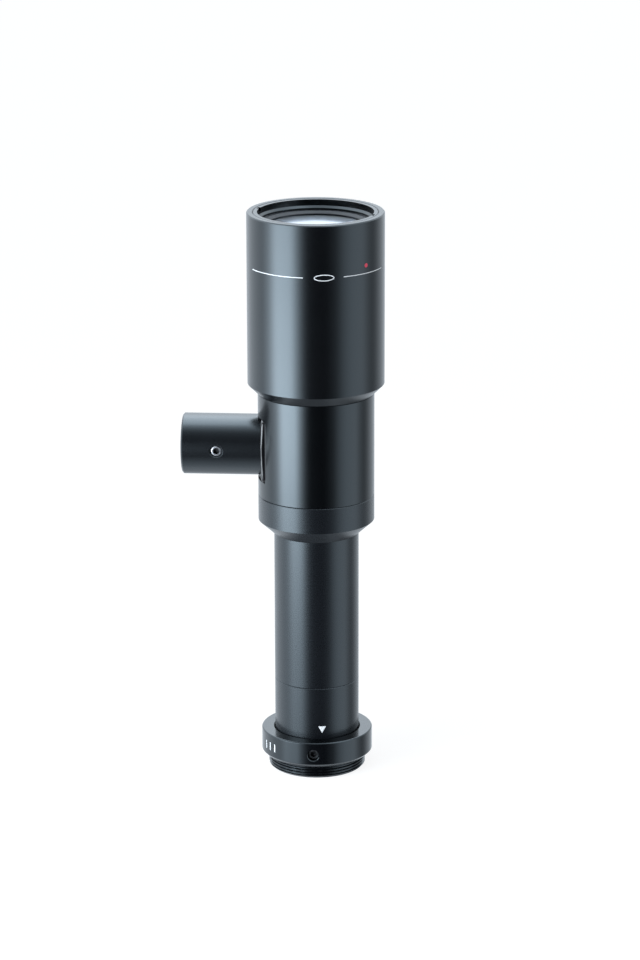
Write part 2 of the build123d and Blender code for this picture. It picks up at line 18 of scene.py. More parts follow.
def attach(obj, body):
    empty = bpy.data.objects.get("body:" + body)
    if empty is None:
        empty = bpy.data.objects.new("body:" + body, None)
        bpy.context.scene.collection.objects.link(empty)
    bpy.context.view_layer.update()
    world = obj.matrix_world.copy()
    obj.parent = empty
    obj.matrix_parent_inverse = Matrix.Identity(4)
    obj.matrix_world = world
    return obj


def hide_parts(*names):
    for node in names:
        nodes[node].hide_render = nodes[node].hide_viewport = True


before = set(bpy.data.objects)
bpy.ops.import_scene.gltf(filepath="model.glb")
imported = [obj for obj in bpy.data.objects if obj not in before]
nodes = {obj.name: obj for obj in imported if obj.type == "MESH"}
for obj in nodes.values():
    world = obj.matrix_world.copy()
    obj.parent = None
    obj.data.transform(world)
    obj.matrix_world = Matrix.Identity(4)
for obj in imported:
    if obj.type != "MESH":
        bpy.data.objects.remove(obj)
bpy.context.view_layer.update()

mm = 0.001
foot_height, port_height = -3.5, 84.05


# %% [markdown]
# ## Camera
# The photograph was taken with a long lens from about 0.9 m away and a little above, so the
# barrels hardly taper and every rim shows as a thin ellipse. The place and the tilt were
# fitted to the widths and rims of all the barrels. The camera stands 4 degrees round from
# the front of the lens, and is rolled by a hair. The view is the plain one, with no film look.

# %% Objects in the scene
def put(name, data):
    """Adds an object with that data to the scene."""
    made = bpy.data.objects.new(name, data)
    bpy.context.scene.collection.objects.link(made)
    return made


def stand(thing, right, up, back, place):
    """Turns a thing so that its X, Y and Z axes point right, up and back, and moves it to a place."""
    matrix = np.eye(4)
    matrix[:3] = np.column_stack([right, up, back, place])
    thing.matrix_world = Matrix(matrix.tolist())


# %% Camera
camera_turn = math.radians(4.0)
camera_tilt = math.radians(16.39)
camera_roll = math.radians(0.15)
camera_distance = 900.7 * mm
camera_height = 339.48 * mm
camera_shift = 0.96 * mm
long_side_pixels = 960
focal_pixels = 3608
nearest, farthest = 0.05, 50.0

to_right = np.array([math.cos(camera_turn), math.sin(camera_turn), 0])
to_camera = np.array([math.sin(camera_turn), -math.cos(camera_turn), 0])
upwards = np.array([0.0, 0.0, 1.0])


def make_camera():
    """A camera whose axes are three unit vectors: back, right and up, the last two rolled."""
    back = to_camera * math.cos(camera_tilt) + upwards * math.sin(camera_tilt)
    level_up = np.cross(back, to_right)
    right = to_right * math.cos(camera_roll) - level_up * math.sin(camera_roll)
    place = to_camera * camera_distance + to_right * camera_shift + upwards * camera_height
    data = bpy.data.cameras.new("camera")
    data.sensor_fit = "AUTO"
    data.sensor_width = 36.0
    data.lens = data.sensor_width * focal_pixels / long_side_pixels
    data.clip_start, data.clip_end = nearest, farthest
    camera = put("camera", data)
    stand(camera, right, np.cross(back, right), back, place)
    bpy.context.scene.camera = camera
    return camera


camera = make_camera()
bpy.context.scene.view_settings.view_transform = "Standard"
print("camera lens, mm:", round(camera.data.lens, 1))


# %% [markdown]
# ## A small kit for node trees
# Materials, lamps and the world are built from nodes. A few short helpers keep that readable.
# Each takes plain values and other nodes' outputs alike, and sets or joins them as fits.

# %% Node helpers
def feed(tree, socket, value):
    """Joins another node's output to a socket, or sets the socket to a plain value."""
    if hasattr(value, "node"):
        tree.links.new(value, socket)
    else:
        socket.default_value = value


def node(tree, kind, at=(0, 0), inputs=None, **settings):
    """Adds a node of that kind, sets its plain settings, then feeds its input sockets."""
    made = tree.nodes.new(kind)
    made.location = at
    for name, value in settings.items():
        setattr(made, name, value)
    for name, value in (inputs or {}).items():
        feed(tree, made.inputs[name], value)
    return made


def maths(tree, operation, *values, at=(0, 0)):
    """The result of one Math node."""
    inputs = dict(enumerate(values))
    return node(tree, "ShaderNodeMath", at, inputs, operation=operation).outputs[0]


def mix(tree, factor, first, second, at, data_type="FLOAT"):
    """The result of one Mix node: the first at factor 0 and the second at factor 1."""
    inputs = {"Factor": factor, "A": first, "B": second}
    return node(tree, "ShaderNodeMix", at, inputs, data_type=data_type).outputs["Result"]


# %% [markdown]
# ## Studio
# Black polished metal shows the room, so the room is most of the picture. Seen from the lens,
# the room is dark behind the camera, a tall soft box stands on the left, a weaker wide one on
# the right, the wall behind is white, and a big soft box hangs overhead. Only the left box is
# a real lamp, because the lens is close enough to it for its lower edge to show as a slow
# fading down the tube. The rest is painted on the world as levels by direction, which costs
# nothing and stays put when the camera moves. Rays that only light a matt surface see one
# plain level, and the camera sees white.

# %% World levels by direction
wall_levels = [
    (-180, 0.9),
    (-150, 1.2),
    (-125, 1.5),
    (-112, 1.6),
    (-98, 1.6),
    (-86, 1.2),
    (-76, 0.6),
    (-62, 0.1),
    (-40, 0.0),
    (18, 0.0),
    (35, 0.3),
    (48, 1.3),
    (62, 1.85),
    (84, 1.8),
    (96, 0.9),
    (108, 0.4),
    (118, 0.55),
    (130, 0.85),
    (150, 0.95),
    (180, 0.9),
]
overhead_levels = [(0, 6.4), (18, 5.6), (32, 3.0), (44, 1.4), (56, 0.5), (75, 0.15), (90, 0.0)]
ground_levels = [(-90, 1.5), (-62, 1.0), (-45, 0.35), (-36, 0.0)]
overhead_lean = math.radians(24)
plain_level = 0.55
full_level = 8.0
light_tint = (0.91, 1.0, 1.09)


def level_ramp(tree, amount, levels, at):
    """Reads a level off (position, level) stops. A ramp's colours end at 1, so it holds each
    level over the full one and is multiplied up again."""
    x, y = at
    low, high = levels[0][0], levels[-1][0]
    inputs = {"Value": amount, "From Min": low, "From Max": high}
    share = node(tree, "ShaderNodeMapRange", at, inputs).outputs["Result"]
    ramp = node(tree, "ShaderNodeValToRGB", (x + 200, y), {"Fac": share})
    stops = ramp.color_ramp.elements
    while len(stops) < len(levels):
        stops.new(0.5)
    for stop, (place, level) in zip(stops, levels):
        stop.position = (place - low) / (high - low)
        stop.color = (level / full_level,) * 3 + (1,)
    return maths(tree, "MULTIPLY", ramp.outputs["Color"], full_level, at=(x + 500, y))


def make_world():
    """Camera rays see white, matt surfaces one plain level, and polish and glass the levels by
    direction: the brighter of wall and ground, plus the box overhead."""
    world = bpy.data.worlds.new("studio")
    bpy.context.scene.world = world
    world.use_nodes = True
    tree = world.node_tree
    tree.nodes.clear()
    way = node(tree, "ShaderNodeTexCoord", (-1600, 0)).outputs["Generated"]

    def along(axis, y):
        inputs = {0: way, 1: tuple(axis)}
        dot = node(tree, "ShaderNodeVectorMath", (-1400, y), inputs, operation="DOT_PRODUCT")
        return dot.outputs["Value"]

    def degrees(operation, *values, y):
        angle = maths(tree, operation, *values, at=(-1200, y))
        return maths(tree, "DEGREES", angle, at=(-1000, y))

    overhead_way = upwards * math.cos(overhead_lean) - to_camera * math.sin(overhead_lean)
    turn = degrees("ARCTAN2", along(to_right, 200), along(to_camera, 0), y=200)
    rise = degrees("ARCSINE", along(upwards, -200), y=-200)
    off = degrees("ARCCOSINE", along(overhead_way, -400), y=-400)
    wall = level_ramp(tree, turn, wall_levels, (-800, 200))
    ground = level_ramp(tree, rise, ground_levels, (-800, -200))
    overhead = level_ramp(tree, off, overhead_levels, (-800, -500))
    brighter = maths(tree, "MAXIMUM", wall, ground, at=(-100, 100))
    room = maths(tree, "ADD", brighter, overhead, at=(100, 0))
    ray = node(tree, "ShaderNodeLightPath", (-300, 700)).outputs
    shine = maths(tree, "MAXIMUM", ray["Is Glossy Ray"], ray["Is Transmission Ray"], at=(0, 500))
    level = mix(tree, shine, plain_level, room, (300, 200))
    seen = mix(tree, ray["Is Camera Ray"], level, 1.0, (500, 300))
    white, tinted = (1, 1, 1, 1), (*light_tint, 1)
    colour = mix(tree, ray["Is Camera Ray"], tinted, white, (500, -100), "RGBA")
    light = node(tree, "ShaderNodeBackground", (700, 200), {"Color": colour, "Strength": seen})
    node(tree, "ShaderNodeOutputWorld", (900, 200), {"Surface": light.outputs[0]})


make_world()
print("world levels:", len(wall_levels), "round the wall")


# %% [markdown]
# ### Soft box on the left
# The lamp stands 300 mm from the axis of the lens. It is brightest in the middle and fades to
# both sides, faster on one than on the other. From its middle height it fades a little towards
# the top and a lot towards the floor.

# %% Soft box on the left
box_turn = math.radians(-54)
box_distance = 300 * mm
box_half_angle = 40
box_low, box_high = -160, 180
box_level = 13.0
box_across = [
    (-40, 0.08),
    (-34, 0.13),
    (-28, 0.26),
    (-20, 0.66),
    (-13, 1.0),
    (13, 1.0),
    (19, 0.60),
    (25, 0.30),
    (31, 0.10),
    (36, 0.02),
    (40, 0.0),
]
box_upwards = [
    (-160, 0.15),
    (-90, 0.24),
    (-58, 0.32),
    (-35, 0.41),
    (-12, 0.86),
    (10, 1.0),
    (40, 0.95),
    (80, 0.72),
    (180, 0.6),
]


def soft_box():
    """An upright lamp that faces the optical axis. A point's level is its share across x its
    share upwards. Across goes by the angle arctan(distance from the middle / distance of the
    lamp), and upwards by the height in millimetres. The power is level x area x pi."""
    width = 2 * box_distance * math.tan(math.radians(box_half_angle))
    height = (box_high - box_low) * mm
    data = bpy.data.lights.new("soft_box_left", "AREA")
    data.shape = "RECTANGLE"
    data.size, data.size_y = width, height
    data.energy = box_level * width * height * math.pi
    data.color = light_tint
    data.use_nodes = True
    tree = data.node_tree
    tree.nodes.clear()
    on_lamp = node(tree, "ShaderNodeNewGeometry", (-1400, 0)).outputs["Parametric"]
    place = node(tree, "ShaderNodeSeparateXYZ", (-1200, 0), {0: on_lamp}).outputs
    off = maths(tree, "SUBTRACT", place["X"], 0.5, at=(-1000, 200))
    slope = maths(tree, "MULTIPLY", off, width / box_distance, at=(-600, 200))
    angle = maths(tree, "ARCTANGENT", slope, at=(-400, 200))
    angle = maths(tree, "DEGREES", angle, at=(-200, 200))
    rise = maths(tree, "MULTIPLY_ADD", place["Y"], box_high - box_low, box_low, at=(-600, -200))
    across = level_ramp(tree, angle, box_across, (0, 200))
    up = level_ramp(tree, rise, box_upwards, (0, -200))
    level = maths(tree, "MULTIPLY", across, up, at=(700, 0))
    glow = node(tree, "ShaderNodeEmission", (900, 0), {"Strength": level})
    node(tree, "ShaderNodeOutputLight", (1100, 0), {"Surface": glow.outputs[0]})
    way = to_camera * math.cos(box_turn) + to_right * math.sin(box_turn)
    middle = way * box_distance + upwards * (box_low + box_high) / 2 * mm
    stand(put("soft_box_left", data), np.cross(upwards, way), upwards, way, middle)
    return width


print("soft box width, mm:", round(soft_box() / mm))


# %% [markdown]
# ### Floor
# The lens stands on a plain white sheet. The camera sees it almost white, with a faint soft
# shadow at the foot of the lens. Polish doesn't see the sheet, because the world's levels
# already hold what the lens would show of it.

# %% Floor
floor_reach = 4.0
sheet_matt, sheet_glow = 0.26, 0.86


def make_floor():
    """One square sheet. It glows evenly, and adds a matt share that the shadow takes away."""
    mesh = bpy.data.meshes.new("floor")
    square = np.array([(-1, -1), (1, -1), (1, 1), (-1, 1)]) * floor_reach
    corners = [(x, y, foot_height * mm) for x, y in square.tolist()]
    mesh.from_pydata(corners, [], [(0, 1, 2, 3)])
    floor = put("floor", mesh)
    sheet = bpy.data.materials.new("white_sheet")
    sheet.use_nodes = True
    tree = sheet.node_tree
    tree.nodes.clear()
    matt = node(tree, "ShaderNodeBsdfDiffuse", (0, 0), {"Color": (sheet_matt,) * 3 + (1,)})
    glow = node(tree, "ShaderNodeEmission", (0, -200), {"Strength": sheet_glow})
    both = node(tree, "ShaderNodeAddShader", (200, 0), {0: matt.outputs[0], 1: glow.outputs[0]})
    node(tree, "ShaderNodeOutputMaterial", (400, 0), {"Surface": both.outputs[0]})
    mesh.materials.append(sheet)
    floor.visible_glossy = False
    floor.visible_shadow = False


make_floor()
print("floor at", foot_height, "mm")


# %% [markdown]
# ## Finishes
# Turned and anodised metal is never quite even. The tool leaves rings finer than a hair round
# the axis, and the dye takes a little more in one place than in the next. Both effects are
# shader groups, built once: the first gives a height for a Bump node, the second a slow mottle
# for the roughness and the colour. Each finish then sets its own scale and strength.

# %% Shader group: rings left by the turning tool
def new_group(name, numbers, results):
    """An empty shader group that takes a Vector and named numbers, and its two ends' sockets."""
    group = bpy.data.node_groups.new(name, "ShaderNodeTree")
    sockets = group.interface
    sockets.new_socket("Vector", in_out="INPUT", socket_type="NodeSocketVector")
    for label, value in numbers.items():
        socket = sockets.new_socket(label, in_out="INPUT", socket_type="NodeSocketFloat")
        socket.default_value = value
    for label in results:
        sockets.new_socket(label, in_out="OUTPUT", socket_type="NodeSocketFloat")
    given = node(group, "NodeGroupInput", (-1200, 0)).outputs
    return group, given, node(group, "NodeGroupOutput", (800, 0)).inputs


def make_turned_rings():
    """Noise read at (distance from Z, 0, height), so that it is the same all the way round the
    axis. The distance is the square root of X squared plus Y squared."""
    group, given, out = new_group("turned_rings", {"Rings Per Metre": 3000.0}, ["Height"])
    parts = node(group, "ShaderNodeSeparateXYZ", (-1000, 0), {0: given["Vector"]}).outputs
    across = maths(group, "MULTIPLY", parts["X"], parts["X"], at=(-800, 200))
    deep = maths(group, "MULTIPLY", parts["Y"], parts["Y"], at=(-800, 0))
    both = maths(group, "ADD", across, deep, at=(-600, 100))
    reach = maths(group, "SQRT", both, at=(-400, 100))
    place = node(group, "ShaderNodeCombineXYZ", (-200, 0), {"X": reach, "Z": parts["Z"]})
    inputs = {"Vector": place.outputs[0], "Scale": given["Rings Per Metre"]}
    inputs |= {"Detail": 2.0, "Roughness": 0.6}
    rings = node(group, "ShaderNodeTexNoise", (200, 0), inputs)
    feed(group, out["Height"], rings.outputs["Fac"])
    return group


turned_rings = make_turned_rings()
print("group:", turned_rings.name)


# %% Shader group: slow mottle of the dye
finer_share = 14.0


def make_mottle():
    """Two sizes of noise are added, and their sum less 1 is a mask round 0. The value is
    middle + mask x spread, and the mask itself comes out round 0.5."""
    numbers = {"Scale": 120.0, "Middle": 0.3, "Spread": 0.05}
    group, given, out = new_group("mottle", numbers, ["Value", "Mask"])

    def noise(scale, detail, y):
        inputs = {"Vector": given["Vector"], "Scale": scale, "Detail": detail}
        return node(group, "ShaderNodeTexNoise", (-600, y), inputs).outputs["Fac"]

    slow = noise(given["Scale"], 3.0, 200)
    fine = noise(maths(group, "MULTIPLY", given["Scale"], finer_share, at=(-800, -200)), 2.0, -200)
    both = maths(group, "ADD", slow, fine, at=(-300, 0))
    mask = maths(group, "SUBTRACT", both, 1.0, at=(-100, 0))
    moved = maths(group, "MULTIPLY", mask, given["Spread"], at=(100, 0))
    feed(group, out["Value"], maths(group, "ADD", moved, given["Middle"], at=(300, 0)))
    feed(group, out["Mask"], maths(group, "ADD", mask, 0.5, at=(300, -200)))
    return group


mottle = make_mottle()
print("group:", mottle.name)


# %% [markdown]
# ### Black anodised aluminium
# Anodising grows a hard clear layer with black dye in it. It reflects like a dark glaze and
# not like bare metal, so the shader is a dielectric with almost no colour under its gloss.
# The gloss itself is faintly blue where it is seen face on. The mount ring came out smoothest
# and the rear barrel roughest, so each barrel has its own roughness. The tool's rings run
# round the lens, and on the side tube round that tube's own axis.

# %% Finish maker for metal, adhesive and ink
finish_ior = 1.5
dye_swing = 0.15


def new_material(name, values):
    """A Principled material with plain values set, its tree, its sockets and Object coordinates."""
    material = bpy.data.materials.new(name)
    material.use_nodes = True
    tree = material.node_tree
    sockets = tree.nodes["Principled BSDF"].inputs
    for label, value in values.items():
        sockets[label].default_value = value
    return material, tree, sockets, node(tree, "ShaderNodeTexCoord", (-1200, 0)).outputs["Object"]


def finish(name, colour, roughness, spread, tool, tint=(1, 1, 1), axis="Z", metallic=0.0, bright=1.0):
    """The mottle drives the roughness and the colour, and the tool's rings (how many per metre,
    how high) drive the normal. Where a piece's rim mark is 1, its colour is that many times
    brighter, partly as worn metal and partly as a painted highlight."""
    values = {"Metallic": metallic, "IOR": finish_ior, "Specular Tint": (*tint, 1)}
    material, tree, sockets, place = new_material(name, values)
    if axis == "X":
        onto_axis = {"Location": (port_height * mm, 0, 0), "Rotation": (0, -math.pi / 2, 0)}
        turned = node(tree, "ShaderNodeMapping", (-1000, 0), {"Vector": place, **onto_axis})
        place = turned.outputs[0]
    inputs = {"Vector": place, "Middle": roughness, "Spread": spread}
    patches = node(tree, "ShaderNodeGroup", (-700, 200), inputs, node_tree=mottle).outputs
    inputs = {"Vector": place, "Rings Per Metre": tool[0]}
    lines = node(tree, "ShaderNodeGroup", (-700, -200), inputs, node_tree=turned_rings)
    inputs = {"Strength": 1.0, "Distance": tool[1], "Height": lines.outputs["Height"]}
    relief = node(tree, "ShaderNodeBump", (-300, -300), inputs)

    def times(share):
        return (*[min(c * share, 1.0) for c in colour], 1)

    shade = mix(tree, patches["Mask"], times(1 - dye_swing), times(1 + dye_swing), (-300, 300), "RGBA")
    # Painted highlight: the mesh's rim mark lightens the colour, partly as worn metal and partly as a
    # glint of light.
    if bright != 1.0:
        wear_and_highlight = node(tree, "ShaderNodeAttribute", (-600, 600), attribute_name="wear_and_highlight").outputs["Fac"]
        shade = mix(tree, wear_and_highlight, shade, times(bright), (-100, 300), "RGBA")
    feed(tree, sockets["Base Color"], shade)
    feed(tree, sockets["Roughness"], patches["Value"])
    feed(tree, sockets["Normal"], relief.outputs["Normal"])
    return material


# %% Metal finishes
blue_gloss = (0.80, 0.93, 1.0)
fine_turning = (2600.0, 0.0000012)
anodised = {
    part: finish(f"{part}_anodised", colour, roughness, spread, fine_turning, blue_gloss, axis)
    for part, colour, roughness, spread, axis in (
        ("front", (0.0020, 0.0022, 0.0028), 0.24, 0.03, "Z"),
        ("middle", (0.0012, 0.0014, 0.0018), 0.21, 0.02, "Z"),
        ("rear", (0.0040, 0.0046, 0.0060), 0.275, 0.03, "Z"),
        ("ring", (0.0018, 0.0021, 0.0028), 0.17, 0.03, "Z"),
        ("port", (0.0040, 0.0045, 0.0055), 0.24, 0.03, "X"),
    )
}
matt_black = finish(
    "matt_anodised", (0.006, 0.0065, 0.008), 0.45, 0.06, (1500.0, 0.000004), (0.9, 0.95, 1)
)
screw_black = finish(
    "screw_oxide", (0.07, 0.072, 0.076), 0.38, 0.08, (5000.0, 0.000002), metallic=1.0, bright=5.0
)
print("finishes:", *anodised, matt_black.name, screw_black.name)


# %% [markdown]
# ### Glass, flock, adhesive and ink
# Coated glass reflects little when it is seen face on, but the camera looks across the front
# glass at a low angle, where every surface of the lens behind it adds its own reflection. A
# clear coat over the glass stands for the inner surfaces' share. The front element is also
# blurred, which polished glass isn't. The blur stands in for the pale, even look of the glass
# in the photograph. The adhesive is black and wet looking, the light absorber is black flock
# that shows nothing, and the ink is matt.

# %% Glass
glass_ior, coat_ior = 1.52, 1.6
polish_scale, polish_spread = 60.0, 0.01


def glass(name, colour, coat, coat_tint=(1, 1, 1), coat_haze=0.03, blur=0.012):
    """Glass under a clear coat. Its roughness is the blur with a faint mottle from polishing."""
    values = {
        "Base Color": (*colour, 1),
        "Transmission Weight": 1.0,
        "IOR": glass_ior,
        "Coat Weight": coat,
        "Coat Roughness": coat_haze,
        "Coat IOR": coat_ior,
        "Coat Tint": (*coat_tint, 1),
    }
    material, tree, sockets, place = new_material(name, values)
    inputs = {"Vector": place, "Scale": polish_scale, "Middle": blur, "Spread": polish_spread}
    trace = node(tree, "ShaderNodeGroup", (-600, 0), inputs, node_tree=mottle)
    feed(tree, sockets["Roughness"], trace.outputs["Value"])
    return material


clear = (0.86, 0.92, 0.96)
front_glass = glass("front_glass", (0.70, 0.82, 0.96), 1.0, coat_haze=0.08, blur=0.32)
coated_glass = glass("coated_glass", clear, 1.0)
inner_glass = glass("inner_glass", clear, 0.0)
half_mirror = glass("half_mirror", (0.70, 0.76, 0.80), 1.0, coat_tint=(0.9, 0.9, 1))
print("glass:", front_glass.name, coated_glass.name, inner_glass.name, half_mirror.name)

# %% Flock, adhesive and ink
flock = finish("black_flock", (0.004, 0.004, 0.004), 0.95, 0.04, (9000.0, 0.00004))
adhesive = finish("wet_adhesive", (0.003, 0.003, 0.0035), 0.10, 0.04, (900.0, 0.00001))
print_grain = (4000.0, 0.000002)
white_ink = finish("white_ink", (0.62, 0.64, 0.66), 0.5, 0.06, print_grain)
red_ink = finish("red_ink", (0.55, 0.03, 0.07), 0.5, 0.06, print_grain)
print("inks:", white_ink.name, red_ink.name)

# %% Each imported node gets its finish, matt black unless it is listed
finish_lists = [
    (anodised["front"], "front_barrel front_ring"),
    (anodised["middle"], "mid_barrel"),
    (anodised["port"], "port_tube"),
    (anodised["rear"], "rear_barrel mount_tube mount_ring"),
    (front_glass, "objective_crown_lens"),
    (coated_glass, "condenser_lens rear_singlet"),
    (inner_glass, "objective_flint_lens objective_single_lens rear_crown_lens rear_flint_lens"),
    (half_mirror, "splitter_plate"),
    (flock, "light_absorber"),
    (adhesive, "port_adhesive"),
    (screw_black, "port_screw mount_screw_1 mount_screw_2 mount_screw_3"),
]
node_finish = {name: material for material, names in finish_lists for name in names.split()}
for name, packed in nodes.items():
    packed.data.materials.clear()
    packed.data.materials.append(node_finish.get(name, matt_black))
print("nodes with their own finish:", len(node_finish))


# %% [markdown]
# ## Surfaces from grids
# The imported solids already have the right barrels, cells and rings, so they stay and only get
# finishes. Five kinds of piece need more: the mount ring has a real screw thread, the set
# screws have threads and sockets with soft edges, the adhesive is uneven, the objective's
# glass needs finer curves, and the marks are ink. Each is a grid of points worked out as whole
# arrays. Its columns wrap round. Its rows either wrap as well, or close to a point at both ends.

# %% Grid to mesh
sharp_angle = math.radians(33)


def grid_mesh(name, points, wrap_rows=False, wear_and_highlight=0.0):
    """Four-sided faces between neighbours of a grid in millimetres, and triangles to the mean of
    an end row. All are turned round if the volume, the sum of a . (b x c) / 6, is negative."""
    rows, columns = points.shape[:2]
    index = np.arange(rows * columns).reshape(rows, columns)
    near, far = (index, np.roll(index, -1, 0)) if wrap_rows else (index[:-1], index[1:])
    quads = np.stack([near, np.roll(near, -1, 1), np.roll(far, -1, 1), far], -1).reshape(-1, 4)
    corners = points.reshape(-1, 3) * mm
    caps = np.zeros((0, 3), int)
    if not wrap_rows:
        corners = np.vstack([corners, points[[0, -1]].mean(1) * mm])
        first, last = index[0], index[-1]
        pole = np.full(columns, rows * columns)
        start_cap = np.stack([np.roll(first, -1), first, pole], -1)
        end_cap = np.stack([last, np.roll(last, -1), pole + 1], -1)
        caps = np.vstack([start_cap, end_cap])
    halves = np.concatenate([quads[:, [0, 1, 2]], quads[:, [0, 2, 3]], caps])
    a, b, c = (corners[halves[:, corner]] for corner in range(3))
    if np.einsum("ij,ij->", a, np.cross(b, c)) < 0:
        quads, caps = quads[:, ::-1], caps[:, ::-1]
    mesh = bpy.data.meshes.new(name)
    mesh.from_pydata(corners.tolist(), [], quads.tolist() + caps.tolist())
    # This per-point value later lightens the colour: partly wear, partly a painted highlight.
    shares = np.resize(np.broadcast_to(wear_and_highlight, (rows, columns)).ravel(), len(corners))
    rim_highlight_and_wear = mesh.attributes.new("wear_and_highlight", "FLOAT", "POINT")
    rim_highlight_and_wear.data.foreach_set("value", shares.astype(np.float32))
    return mesh


def add_piece(name, mesh, material, body, stands_for=None):
    """Puts a mesh into the scene on its body, with its finish. Its shading
    is smooth, and breaks only where two faces meet at more than the sharp angle."""
    mesh.polygons.foreach_set("use_smooth", np.ones(len(mesh.polygons), bool))
    mesh.set_sharp_from_angle(angle=sharp_angle)
    mesh.materials.clear()
    mesh.materials.append(material)
    piece = put(name, mesh)
    if stands_for:
        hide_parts(stands_for)
    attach(piece, body)
    print(name, "points:", len(mesh.vertices))


def full_turn(columns):
    """The angles of the columns round a full turn."""
    return np.arange(columns) * 2 * math.pi / columns


# %% Sections and turned surfaces
curve_steps, longest_curve = 4, 0.35
spare_flat, spare_share = 0.03, 0.1


def rounded(corners, radius):
    """A closed section with curved corners: (1-t)^2 start + 2t(1-t) corner + t^2 end. A point
    just beyond each end of a curve keeps the flats flat in the shading."""
    corner = np.array(corners, float)
    back, on = np.roll(corner, 1, 0) - corner, np.roll(corner, -1, 0) - corner
    back_length, on_length = (np.linalg.norm(way, axis=1, keepdims=True) for way in (back, on))
    shorter = np.minimum(back_length, on_length)
    reach = np.minimum(radius, longest_curve * shorter)
    back, on = back / back_length, on / on_length
    t = np.linspace(0, 1, curve_steps + 1)[None, :, None]
    start, end = (corner + back * reach)[:, None], (corner + on * reach)[:, None]
    curve = (1 - t) ** 2 * start + 2 * t * (1 - t) * corner[:, None] + t**2 * end
    spare = np.minimum(spare_flat, spare_share * shorter)
    before, after = (corner + way * (reach + spare) for way in (back, on))
    return np.concatenate([before[:, None], curve, after[:, None]], 1).reshape(-1, 2)


def spun(reach, along, start, way, columns):
    """Points at a reach round a line: start + way x along + (side x cos + over x sin) x reach."""
    way, start = np.array(way, float), np.array(start, float)
    over = upwards if abs(way[2]) < 0.9 else np.array([0.0, 1.0, 0.0])
    side = np.cross(over, way)
    turn = full_turn(columns)
    around = np.cos(turn)[:, None] * side + np.sin(turn)[:, None] * over
    reach = np.broadcast_to(np.reshape(reach, (len(along), -1)), (len(along), columns))
    return start + np.reshape(along, (-1, 1, 1)) * way + reach[..., None] * around


def cut_out(mesh, cutters):
    """Takes the cutters' solids out of a mesh with a Boolean each, and gives the plain result."""
    work = put("work", mesh)
    for number, cutter in enumerate(cutters):
        tool = put(f"cutter_{number}", cutter)
        change = work.modifiers.new(tool.name, "BOOLEAN")
        change.operation, change.solver, change.object = "DIFFERENCE", "EXACT", tool
    graph = bpy.context.evaluated_depsgraph_get()
    result = bpy.data.meshes.new_from_object(work.evaluated_get(graph))
    for change in list(work.modifiers):
        bpy.data.objects.remove(change.object)
    bpy.data.objects.remove(work)
    return result


# %% [markdown]
# ### Mount ring
# The ring is turned in one piece with the camera thread. The thread is the usual one for this
# kind of camera: 25.4 mm across and 32 turns to the inch, right-handed, with flats on its
# crests and roots. Its helix comes from one line of arithmetic. The depth at a point depends
# on its height and its angle together, so that one turn round the ring moves the pattern up
# by one pitch. The three holes for the set screws are cut afterwards.

# %% Thread form
half_crest, flank = 1 / 16, 0.3125


def thread_share(along, turn, pitch):
    """How deep a right-hand thread is at a point, from 0 on the crest to 1 at the root. The place
    in the pitch is along / pitch - turn / full turn. An eighth of it is crest, a quarter root,
    and the rest two flanks, each the mean of a straight line and a soft step."""
    place = (along / pitch - turn / (2 * math.pi)) % 1.0
    depth = np.clip((np.abs(place - 0.5) - half_crest) / flank, 0, 1)
    return depth * depth * (3 - 2 * depth) * 0.5 + depth * 0.5


# %% Section of the mount ring
ring_columns, thread_rows = 240, 124
thread_pitch = 25.4 / 32
thread_crest, thread_root = 12.70, 12.27
thread_relief, thread_bevel, thread_margin = -0.65, 0.60, 0.07
ring_reach, ring_bore, ring_top = 14.55, 11.08, 6.95
flange_reach, flange_bevel = 13.55, 1.0
rim_bevel, bore_bevel = 0.25, 0.35
light_bore, seat_height = 10.00, 1.20
corner_radius = 0.06


def mount_ring_points():
    """The ring's closed section carried round the axis. Between the foot and the flange the
    radius is crest - depth x share, held under a 45 degree bevel at the foot and the root's
    radius at the relief."""
    bevel_reach = thread_crest - thread_bevel
    section = rounded(
        [
            (thread_root, 0),
            (flange_reach, 0),
            (ring_reach, flange_bevel),
            (ring_reach, ring_top - rim_bevel),
            (ring_reach - rim_bevel, ring_top),
            (ring_bore + bore_bevel, ring_top),
            (ring_bore, ring_top - bore_bevel),
            (ring_bore, seat_height),
            (light_bore, seat_height),
            (light_bore, foot_height),
            (bevel_reach, foot_height),
        ],
        corner_radius,
    )
    height = np.linspace(foot_height + thread_margin, -thread_margin, thread_rows)[:, None]
    turn = full_turn(ring_columns)[None, :]
    deep = thread_share(height, turn, thread_pitch) * (thread_crest - thread_root)
    bevel = bevel_reach + height - foot_height
    relief = thread_root + np.maximum(thread_relief - height, 0)
    thread = np.minimum(np.minimum(thread_crest - deep, bevel), relief)
    plain = np.broadcast_to(section[:, :1], (len(section), ring_columns))
    reach = np.vstack([plain, thread])
    level = np.broadcast_to(np.vstack([section[:, 1:], height]), reach.shape)
    return np.stack([reach * np.cos(turn), reach * np.sin(turn), level], -1)


# %% Mount ring
screw_height = 3.55
screw_turns = [math.radians(turn) for turn in (-90, 30, 150)]
hole_reach, hole_along, hole_columns = [1.5, 1.5, 2.1], [10.3, 14.35, 14.95], 64


def screw_hole(turn):
    """A straight hole of 1.5 mm radius through the wall, opening at 45 degrees in its last 0.2 mm."""
    way = (math.cos(turn), math.sin(turn), 0)
    points = spun(hole_reach, hole_along, (0, 0, screw_height), way, hole_columns)
    return grid_mesh("hole", points)


ring_mesh = grid_mesh("mount_ring", mount_ring_points(), wrap_rows=True)
ring_mesh = cut_out(ring_mesh, [screw_hole(turn) for turn in screw_turns])
add_piece("camera_mount_ring", ring_mesh, anodised["ring"], "mount_ring", "mount_ring")
